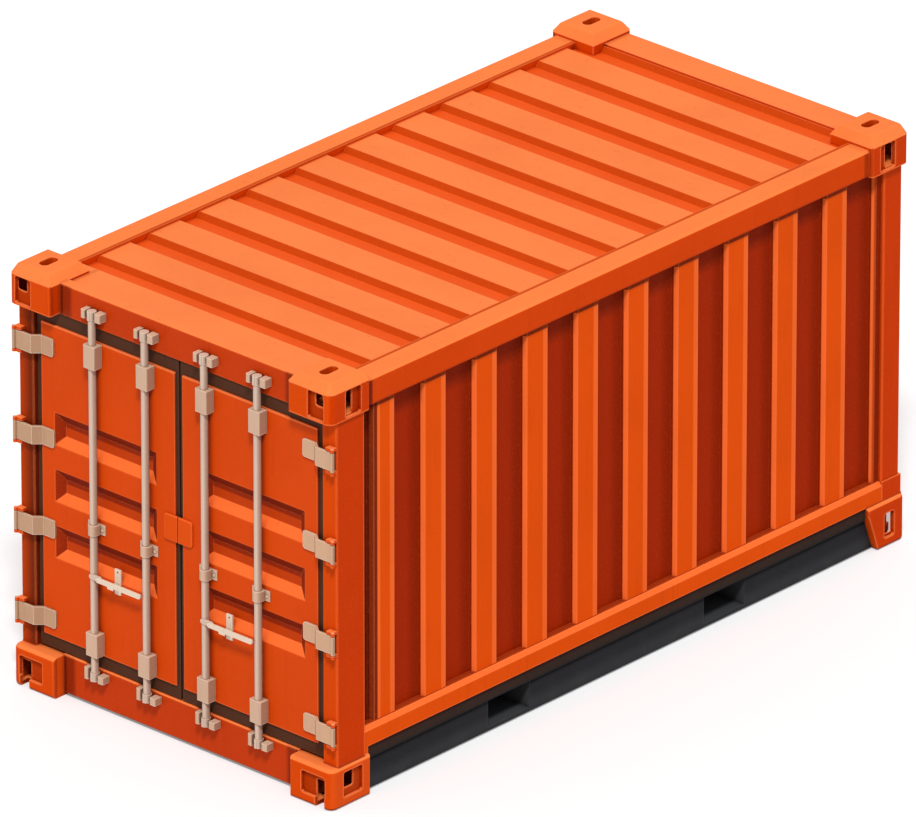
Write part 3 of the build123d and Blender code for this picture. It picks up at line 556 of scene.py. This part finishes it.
def roof_paint():
    """Roof: bands in a painted-light tone between grooves in painted shade, darkest on the slopes
    that face the doors.
    """
    paint = Finish("roof_orange", COAT_ROUGHNESS)
    depth = paint.math("SUBTRACT", ROOF_FACE, paint.z)
    groove = paint.step(depth, 0.003, ROOF_DEPTH - 0.006)
    slope = paint.step(paint.facing_y, -0.35, -0.6)
    tone = paint.mix(groove, ORANGE_TOP_LIT, ORANGE_TOP_HALF_SHADE)
    tone = paint.mix(slope, tone, ORANGE_TOP_SHADE)
    tone = weathered_and_painted_light(paint, tone, edge_radius=0.006, highlight_share=0.25, shade_reach=0.05, crevice_shade_share=0.35)
    tone = rusted(paint, tone, 0.5)
    return paint.finish(tone, orange_peel(paint), strength=0.3)


def door_paint():
    """Door leaves, with painted shade in each pressed swage, darkest under its upper lip and on its
    upper and end lips, and a painted highlight on its lower lip and along the leaf's top.
    """
    paint = Finish("door_orange", COAT_ROUGHNESS)
    depth = paint.math("SUBTRACT", paint.y, DOOR_FACE)
    pressed = paint.step(depth, 0.004, SWAGE_DEPTH)
    tone = paint.mix(paint.times(pressed, 0.32), ORANGE_FRONT, ORANGE_SHADE)
    row = paint.math("DIVIDE", paint.math("SUBTRACT", paint.z, SWAGE_MIDDLE), SWAGE_PITCH)
    above = paint.math("SUBTRACT", row, paint.math("ROUND", row))
    # Painted shadow on the swage floor under its upper lip
    top_of_floor = paint.times(
        paint.step(above, 0.03, 0.05),
        paint.step(depth, SWAGE_DEPTH - 0.006, SWAGE_DEPTH - 0.001), 0.75)
    tone = paint.mix(top_of_floor, tone, ORANGE_SHADE)
    inset = paint.step(depth, 0.0005, 0.002)
    # Painted shade on the upper and end lips, and a painted highlight on the lower lip and the
    # leaf's top
    upper_lip = paint.times(paint.step(paint.facing_z, -0.3, -0.45), inset, 0.95)
    tone = paint.mix(upper_lip, tone, ORANGE_SHADE)
    end_lip = paint.step(paint.math("ABSOLUTE", paint.facing_x), 0.3, 0.45)
    tone = paint.mix(paint.times(end_lip, inset, 0.8), tone, ORANGE_SHADE)
    lower_lip = paint.times(paint.step(paint.facing_z, 0.3, 0.45), inset, 0.95)
    tone = paint.mix(lower_lip, tone, ORANGE_PAINTED_LIGHT)
    brim = paint.times(paint.step(paint.z, LEAF_TOP - 0.012, LEAF_TOP - 0.009), 0.7)
    tone = paint.mix(brim, tone, ORANGE_EDGE_HIGHLIGHT)
    tone = weathered_and_painted_light(paint, tone, edge_radius=0.01, highlight_share=0.7, shade_reach=0.05, crevice_shade_share=0.7)
    tone = rusted(paint, tone, 0.6)
    return paint.finish(tone, orange_peel(paint), strength=0.25)


def plate_paint():
    paint = Finish("plate_orange", roughness=0.46)
    tone = weathered_and_painted_light(paint, ORANGE, edge_radius=0.007, highlight_share=0.7, shade_reach=0.03, crevice_shade_share=0.8)
    tone = rusted(paint, tone, 0.6)
    return paint.finish(tone, orange_peel(paint), strength=0.2)


def hardware_paint(name, right, left, roughness=0.4):
    """Cream-painted galvanised hardware, with painted shade on its flanks and on the left leaf."""
    paint = Finish(name, roughness, specular=0.4)
    tone = paint.mix(paint.step(paint.x, 0.1, -0.1), right, left)
    # Painted shade on the flanks
    sideways = paint.step(paint.math("ABSOLUTE", paint.facing_x), 0.35, 0.95)
    tone = paint.mix(paint.times(sideways, 0.5), tone, CREAM_DEEP)
    tone = weathered_and_painted_light(
        paint, tone, edge_radius=0.006, highlight_share=0.8, shade_reach=0.025, crevice_shade_share=0.85,
        edge=CREAM_EDGE_HIGHLIGHT, deep=CREAM_DEEP)
    tone = rusted(paint, tone, 0.8)
    height = paint.math("ADD", paint.noise(180.0, 3.0), paint.noise(30.0, 2.0))
    return paint.finish(tone, height, strength=0.2, distance=0.001)


def rubber():
    """Door seal, with the fine ribs of its extrusion."""
    paint = Finish("seal_rubber", roughness=0.62, specular=0.12)
    tone = weathered_and_painted_light(
        paint, RUBBER, edge_radius=0.006, highlight_share=0.6, shade_reach=0.03, crevice_shade_share=0.6,
        edge=RUBBER_EDGE_HIGHLIGHT, deep=CHARCOAL_DEEP)
    ribs = paint.math("SINE", paint.times(paint.math("ADD", paint.across, paint.z), 700.0))
    height = paint.math("ADD", paint.noise(320.0, 2.0), paint.times(ribs, 0.4))
    return paint.finish(tone, height, strength=0.3, distance=0.001)


def charcoal_paint(name, base):
    """Underframe: dull charcoal, rust-brown on the lip under the rails with a painted shadow along
    the beam's top and under the lip, paler low down, with a painted highlight on its edges.
    """
    paint = Finish(name, roughness=0.6)
    foot = paint.times(paint.step(paint.z, 0.13, 0.05), 0.5)
    tone = paint.mix(foot, base, CHARCOAL_LIGHT)
    outer = paint.step(paint.across, SIDE - 0.06, SIDE - 0.05)
    lip = paint.step(paint.z, BEAM_LIP_BOTTOM - 0.004, BEAM_LIP_BOTTOM + 0.004)
    tone = paint.mix(paint.times(lip, outer, 0.7), tone, LIP_RUST)
    # Painted shadow along the top of the beam, under the rail
    top = paint.step(paint.z, BEAM_TOP - 0.028, BEAM_TOP - 0.016)
    tone = paint.mix(paint.times(top, outer, 0.7), tone, RAIL_SHADOW_RED)
    # Painted shadow under the lip
    shadow_under_lip = paint.band(paint.z, BEAM_LIP_BOTTOM - 0.034, BEAM_LIP_BOTTOM + 0.008)
    tone = paint.mix(paint.times(shadow_under_lip, outer, 0.8), tone, CHARCOAL_DEEP)
    tone = weathered_and_painted_light(
        paint, tone, edge_radius=0.008, highlight_share=0.7, shade_reach=0.08, crevice_shade_share=0.8,
        edge=CHARCOAL_EDGE_HIGHLIGHT, deep=CHARCOAL_DEEP)
    dust = paint.times(
        paint.step(paint.noise(7.0, 4.0), 0.5, 0.8), paint.step(paint.z, 0.2, 0.0), 0.25)
    tone = paint.mix(dust, tone, DUST)
    tone = rusted(paint, tone, 0.5)
    return paint.finish(tone, orange_peel(paint), strength=0.35)


def floor_wood():
    """Plywood sheets laid across the container, with their joints and long grain."""
    wood = Finish("floor_wood", roughness=0.55, specular=0.3)
    grain = wood.noise(5.0, 6.0, 0.6, wood.scaled(14.0, 0.8, 14.0))
    tone = wood.mix(wood.step(grain, 0.35, 0.7), WOOD_DARK, WOOD)
    for axis, size in zip((wood.x, wood.y), PLYWOOD_SHEET):
        turns = wood.math("FRACT", wood.math("DIVIDE", wood.math("ADD", axis, 10 * size), size))
        away = wood.math("ABSOLUTE", wood.math("SUBTRACT", turns, 0.5))
        joint = wood.step(wood.times(away, size), size / 2 - 0.006, size / 2 - 0.002)
        tone = wood.mix(joint, tone, CHARCOAL_DEEP)
    scuffs = wood.step(wood.noise(2.5, 5.0), 0.55, 0.75)
    tone = wood.mix(wood.times(scuffs, 0.3), tone, WOOD_DARK)
    return wood.finish(tone, grain, strength=0.25)


def bead_paint():
    """Painted weld beads, darker than the coat, with a lighter copy on the roof as painted light.
    """
    paint = Finish("bead_orange", COAT_ROUGHNESS)
    # Lighter on the roof as painted light
    top = paint.step(paint.z, RAIL_TOP - 0.06, RAIL_TOP - 0.05)
    base = paint.mix(top, ORANGE_BEAD, ORANGE_TOP_BEAD_LIT)
    tone = weathered_and_painted_light(
        paint, base, edge_radius=0.003, highlight_share=0.3, shade_reach=0.02, crevice_shade_share=0.6,
        deep=ORANGE_SEAM_SHADE)
    tone = rusted(paint, tone, 1.0)
    return paint.finish(tone, paint.noise(220.0, 2.0), strength=0.3, distance=0.001)


def steel():
    """Bare galvanised fasteners."""
    metal = Finish("fastener_steel", roughness=0.4, specular=0.5)
    metal.shader.inputs["Metallic"].default_value = 0.8
    spots = metal.step(metal.noise(90.0, 3.0), 0.4, 0.7)
    tone = metal.mix(metal.times(spots, 0.5), STEEL, CREAM_DEEP)
    return metal.finish(tone, metal.noise(200.0, 2.0), strength=0.2, distance=0.001)


def smoothing():
    """Modifier that welds the facets and shades smooth across all but sharp edges."""
    group = bpy.data.node_groups.new("smooth_by_angle", "GeometryNodeTree")
    group.interface.new_socket("Geometry", in_out="INPUT", socket_type="NodeSocketGeometry")
    group.interface.new_socket("Geometry", in_out="OUTPUT", socket_type="NodeSocketGeometry")
    start = group.nodes.new("NodeGroupInput")
    end = group.nodes.new("NodeGroupOutput")
    weld = group.nodes.new("GeometryNodeMergeByDistance")
    weld.inputs["Distance"].default_value = WELD_DISTANCE
    faces = group.nodes.new("GeometryNodeSetShadeSmooth")
    edges = group.nodes.new("GeometryNodeSetShadeSmooth")
    edges.domain = "EDGE"
    angle = group.nodes.new("GeometryNodeInputMeshEdgeAngle")
    small = group.nodes.new("FunctionNodeCompare")
    small.operation = "LESS_THAN"
    small.inputs[1].default_value = SMOOTH_BELOW
    link = group.links.new
    link(start.outputs[0], weld.inputs["Geometry"])
    link(weld.outputs[0], faces.inputs["Geometry"])
    link(faces.outputs[0], edges.inputs["Geometry"])
    link(angle.outputs["Unsigned Angle"], small.inputs[0])
    link(small.outputs[0], edges.inputs["Shade Smooth"])
    link(edges.outputs[0], end.inputs[0])
    return group


smooth_by_angle = smoothing()


def soften(piece):
    """Round faces shade smooth, and flat ones stay flat."""
    modifier = piece.modifiers.new("smooth", "NODES")
    modifier.node_group = smooth_by_angle
    even = piece.modifiers.new("even_normals", "WEIGHTED_NORMAL")
    even.keep_sharp = True
    even.weight = 100


def dress(material, *names):
    """Gives the material to the nodes and shades their round faces smooth."""
    for name in names:
        mesh = nodes[name].data
        mesh.materials.clear()
        mesh.materials.append(material)
        soften(nodes[name])


def both_sides(*names):
    return [hand + name for hand in ("left_", "right_") for name in names]


dress(casting_paint(), "corner_castings_top", "corner_castings_bottom")
dress(rail_paint(), *both_sides("top_side_rail", "bottom_side_rail"))
dress(header_paint(), "door_header", "front_header", "door_sill", "front_sill")
plain_post = post_paint("post_orange", shade_share=0)
dress(plain_post, "right_door_post", "hinge_lugs", *both_sides("blind_end_post"))
dress(post_paint("shaded_post_orange", shade_share=0.8), "left_door_post")
dress(plate_paint(), *both_sides("lock_plate"))
dress(wall_paint(), "end_wall", *both_sides("side_wall"))
dress(roof_paint(), "roof_panel")
dress(door_paint(), *both_sides("door_panel", "door_frame"))
hardware = hardware_paint("cream_hardware", CREAM, CREAM)
dress(hardware, "cam_keepers", *both_sides("bar_guides"))
dress(hardware_paint("cream_bars", BAR, BAR, roughness=0.32), *both_sides("inner_bar", "outer_bar"))
dress(
    hardware_paint("cream_handles", HANDLE, HANDLE), *both_sides("handle", "handle_catch"))
dress(hardware_paint("cream_hinges", HINGE, HINGE_SHADE), *both_sides("door_hinges"))
dress(rubber(), *both_sides("door_gasket"))
dress(charcoal_paint("charcoal_paint", CHARCOAL), "underframe_beams", "cross_members")
# Pockets get a lighter charcoal as painted light in their shaded insides
dress(charcoal_paint("pocket_charcoal", CHARCOAL_LIGHT), "forklift_pockets")
dress(floor_wood(), "floor_deck")


def wave(first, pitch, ridge, slope, start, end, low, high):
    """Line of a trapezoid wave from start to end."""
    points = [(start, low)]
    begin = first
    while begin + ridge + slope < end:
        points += [
            (begin - slope, low), (begin, high),
            (begin + ridge, high), (begin + ridge + slope, low)]
        begin += pitch
    if begin + ridge < end:
        points += [(begin - slope, low), (begin, high), (begin + ridge, high)]
    elif begin < end:
        points += [(begin - slope, low), (begin, high), (end, high)]
        return points
    points.append((end, low))
    return points


def add_piece(name, vertices, faces, material, slot, body):
    mesh = bpy.data.meshes.new(name)
    mesh.from_pydata(vertices, [], faces)
    mesh.materials.append(material)
    piece = bpy.data.objects.new(name, mesh)
    bpy.context.scene.collection.objects.link(piece)
    soften(piece)
    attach(piece, body)
    return piece


def add_rings(vertices, faces, rings):
    """Closed skin over a row of rings, each with as many points, capped at both ends."""
    base = len(vertices)
    sides = len(rings[0])
    for ring in rings:
        vertices.extend(tuple(point) for point in ring)
    for number in range(len(rings) - 1):
        low = base + number * sides
        for turn in range(sides):
            after = (turn + 1) % sides
            faces.append((low + turn, low + after, low + sides + after, low + sides + turn))
    faces.append(tuple(range(base + sides - 1, base - 1, -1)))
    top = base + (len(rings) - 1) * sides
    faces.append(tuple(range(top, top + sides)))


def ring_points(centre, size, across, up, sides):
    """Points evenly round a circle, from across towards up."""
    angles = [turn * math.tau / sides for turn in range(sides)]
    return [centre + size * (math.cos(angle) * across + math.sin(angle) * up) for angle in angles]


def add_bead(vertices, faces, line, radius, across):
    """Weld bead along a flat line of points, half sunk into the corner that it fills.

    The rod is rippled, and across is square to the plane of the line.
    """
    points = [Vector(point) for point in line]
    runs = [end - start for start, end in zip(points, points[1:])]
    stops = []
    for before, start, run in zip([runs[0]] + runs, points, runs):
        count = max(1, round(run.length / RIPPLE * RINGS_IN_RIPPLE))
        ahead = run.normalized()
        stops.append((start, (before.normalized() + ahead).normalized()))
        stops += [(start + run * number / count, ahead) for number in range(1, count)]
    stops.append((points[-1], runs[-1].normalized()))
    rings = []
    for number, (centre, ahead) in enumerate(stops):
        swell = math.cos(number * math.tau / RINGS_IN_RIPPLE)
        size = radius * (0.86 + 0.14 * swell) * random.uniform(0.94, 1.06)
        rings.append(ring_points(centre, size, across, ahead.cross(across), BEAD_SIDES))
    add_rings(vertices, faces, rings)


def wall_beads():
    """Welds of the side and end walls to the rails, along the pressed line of the sheet."""
    vertices, faces = [], []
    line = wave(
        WALL_FIRST, WALL_PITCH, WALL_RIDGE, WALL_SLOPE, POST_BACK, BLIND_POST_NEAR,
        WALL_FACE - WALL_DEPTH, WALL_FACE)
    for hand in (-1, 1):
        for height in (BOTTOM_RAIL_TOP, RAIL_BOTTOM):
            side_line = [(hand * x, y, height) for y, x in line]
            add_bead(vertices, faces, side_line, WALL_BEAD, UP)
    line = wave(
        END_WALL_FIRST, WALL_PITCH, WALL_RIDGE, WALL_SLOPE, -BLIND_POST_INNER, BLIND_POST_INNER,
        END_WALL_FACE - WALL_DEPTH, END_WALL_FACE)
    for height in (BOTTOM_RAIL_TOP, RAIL_BOTTOM):
        add_bead(vertices, faces, [(x, y, height) for x, y in line], WALL_BEAD, UP)
    return vertices, faces


def roof_beads():
    """Welds of the roof sheet to the side rails, along its pressed line."""
    vertices, faces = [], []
    line = wave(
        ROOF_FIRST, ROOF_PITCH, ROOF_GROOVE, ROOF_SLOPE, ROOF_NEAR, RAIL_END,
        ROOF_FACE, ROOF_FACE - ROOF_DEPTH)
    for hand in (-1, 1):
        x = hand * (ROOF_HALF_WIDTH - ROOF_BEAD_LIFT)
        edge_line = [(x, y, z + ROOF_BEAD_LIFT) for y, z in line]
        add_bead(vertices, faces, edge_line, ROOF_BEAD, RIGHT)
    return vertices, faces


def frame_beads():
    """Welds round the posts where they stand on and under the castings."""
    vertices, faces = [], []
    for hand in (-1, 1):
        outer = hand * POST_OUTER
        inner = hand * (POST_INNER + FRAME_BEAD_START)
        turn = hand * POST_ROUND
        for height in (FOOT_TOP, RAIL_BOTTOM):
            door_post = [
                (inner, POST_FRONT, height), (outer - turn, POST_FRONT, height),
                (outer, POST_FRONT + POST_ROUND, height), (outer, POST_BACK, height)]
            add_bead(vertices, faces, door_post, FRAME_BEAD, UP)
        outer = hand * (BLIND_POST_OUTER - BLIND_POST_STEP)
        inner = hand * BLIND_POST_INNER
        far = BLIND_POST_FAR - BLIND_POST_STEP
        blind_head = [
            (outer, BLIND_POST_NEAR, RAIL_BOTTOM), (outer, far - POST_ROUND, RAIL_BOTTOM),
            (outer - turn, far, RAIL_BOTTOM), (inner, far, RAIL_BOTTOM)]
        add_bead(vertices, faces, blind_head, FRAME_BEAD, UP)
        outer = hand * BLIND_POST_OUTER
        blind_foot = [
            (outer, RAIL_END, BLIND_FOOT_TOP), (outer, BLIND_POST_FAR, BLIND_FOOT_TOP),
            (inner, BLIND_POST_FAR, BLIND_FOOT_TOP)]
        add_bead(vertices, faces, blind_foot, FRAME_BEAD, UP)
    return vertices, faces


bead_orange = bead_paint()
for bead_name, (bead_points, bead_faces) in (
        ("wall_beads", wall_beads()), ("roof_beads", roof_beads()), ("frame_beads", frame_beads())):
    add_piece(bead_name, bead_points, bead_faces, bead_orange, "orange_paint", "container")


def add_bolt(vertices, faces, place, radius, height, ahead, up, domed):
    """Hexagonal head on a washer, or a flush domed screw head, standing out along ahead."""
    across = up.cross(ahead)
    if domed:
        profile = ((radius, 0), (radius * 0.8, height * 0.7), (radius * 0.35, height))
        sides = 12
    else:
        profile = (
            (radius * 1.35, 0), (radius * 1.35, height * 0.22), (radius * 0.92, height * 0.22),
            (radius, height * 0.3), (radius, height * 0.86), (radius * 0.82, height))
        sides = 6
    add_rings(vertices, faces, [
        ring_points(place + rise * ahead, size, across, up, sides) for size, rise in profile])


def clamp_bolts(hand):
    """Bolts through the clamps of one leaf's two bars."""
    vertices, faces = [], []
    for x in BAR_PLACES:
        for reach in (-CLAMP_BOLT_REACH, CLAMP_BOLT_REACH):
            place = Vector((hand * x + reach, CLAMP_FACE, CLAMP_HEIGHT))
            add_bolt(vertices, faces, place, BOLT_RADIUS, BOLT_HEIGHT, OUTWARD, UP, domed=False)
    return vertices, faces


def floor_screws():
    """Rows of countersunk screws that hold the floor down to the cross members."""
    vertices, faces = [], []
    row_pitch = -2 * SCREW_ROW_FIRST / (SCREW_ROWS - 1)
    screw_pitch = 2 * SCREW_ROW_REACH / (SCREWS_IN_ROW - 1)
    for row in range(SCREW_ROWS):
        y = SCREW_ROW_FIRST + row * row_pitch
        for number in range(SCREWS_IN_ROW):
            x = -SCREW_ROW_REACH + number * screw_pitch
            place = Vector((x, y, FLOOR_TOP - SCREW_SUNK))
            add_bolt(
                vertices, faces, place, SCREW_RADIUS, SCREW_HEIGHT, UP, -OUTWARD, domed=True)
    return vertices, faces


fastener_steel = steel()
for hand, body in ((-1, "left_door"), (1, "right_door")):
    add_piece(body + "_clamp_bolts", *clamp_bolts(hand), hardware, "cream_zinc", body)
add_piece("floor_screws", *floor_screws(), fastener_steel, "cream_zinc", "container")


def ground():
    """Pale floor that keeps the object's shadow and meets a white backdrop."""
    mesh = bpy.data.meshes.new("ground")
    corners = [
        (GROUND_REACH * x, GROUND_REACH * y, 0) for x, y in ((-1, -1), (1, -1), (1, 1), (-1, 1))]
    mesh.from_pydata(corners, [], [(0, 1, 2, 3)])
    floor = bpy.data.objects.new("ground", mesh)
    bpy.context.scene.collection.objects.link(floor)
    material = bpy.data.materials.new("ground")
    material.use_nodes = True
    tree = material.node_tree
    tree.nodes.clear()
    output = tree.nodes.new("ShaderNodeOutputMaterial")
    diffuse = tree.nodes.new("ShaderNodeBsdfDiffuse")
    diffuse.inputs["Color"].default_value = GROUND_TONE
    glow = tree.nodes.new("ShaderNodeEmission")
    path = tree.nodes.new("ShaderNodeLightPath")
    share = tree.nodes.new("ShaderNodeMath")
    share.operation = "MULTIPLY"
    share.inputs[1].default_value = GROUND_GLOW
    total = tree.nodes.new("ShaderNodeAddShader")
    tree.links.new(path.outputs["Is Camera Ray"], share.inputs[0])
    tree.links.new(share.outputs[0], glow.inputs["Strength"])
    tree.links.new(diffuse.outputs[0], total.inputs[0])
    tree.links.new(glow.outputs[0], total.inputs[1])
    tree.links.new(total.outputs[0], output.inputs["Surface"])
    mesh.materials.append(material)


def studio():
    """Even white surroundings and one soft lamp high over the near corner."""
    world = bpy.data.worlds.new("studio")
    bpy.context.scene.world = world
    world.use_nodes = True
    tree = world.node_tree
    background = tree.nodes["Background"]
    path = tree.nodes.new("ShaderNodeLightPath")
    strength = tree.nodes.new("ShaderNodeMapRange")
    strength.inputs["To Min"].default_value = SKY_STRENGTH
    strength.inputs["To Max"].default_value = BACKDROP_STRENGTH
    tree.links.new(path.outputs["Is Camera Ray"], strength.inputs["Value"])
    tree.links.new(strength.outputs[0], background.inputs["Strength"])
    background.inputs["Color"].default_value = (1, 1, 1, 1)
    lamp = bpy.data.lights.new("key", "SUN")
    lamp.energy = LAMP_STRENGTH
    lamp.angle = LAMP_ANGLE
    key = bpy.data.objects.new("key", lamp)
    key.rotation_euler = LAMP_TOWARDS.to_track_quat("Z", "Y").to_euler()
    key.location = LAMP_TOWARDS * LAMP_DISTANCE
    bpy.context.scene.collection.objects.link(key)


def camera():
    """The photograph's long-lens view of the door end and the right side."""
    back = Vector((
        math.sin(AZIMUTH) * math.cos(ELEVATION),
        -math.cos(AZIMUTH) * math.cos(ELEVATION),
        math.sin(ELEVATION)))
    right = Vector((math.cos(AZIMUTH), math.sin(AZIMUTH), 0))
    up = back.cross(right)
    off_right = (IMAGE_WIDTH / 2 - CENTRE_PIXEL[0]) / PIXELS_PER_METRE
    off_up = (CENTRE_PIXEL[1] - IMAGE_HEIGHT / 2) / PIXELS_PER_METRE
    aim = Vector((0, 0, HEIGHT / 2)) + right * off_right + up * off_up
    data = bpy.data.cameras.new("camera")
    data.sensor_width = SENSOR
    data.lens = CAMERA_DISTANCE * PIXELS_PER_METRE * SENSOR / IMAGE_WIDTH
    data.clip_start, data.clip_end = CAMERA_RANGE
    viewer = bpy.data.objects.new("camera", data)
    viewer.matrix_world = Matrix.Translation(aim + back * CAMERA_DISTANCE) @ Matrix(
        (right, up, back)).transposed().to_4x4()
    bpy.context.scene.collection.objects.link(viewer)
    bpy.context.scene.camera = viewer


ground()
studio()
camera()
bpy.context.scene.view_settings.view_transform = "Standard"
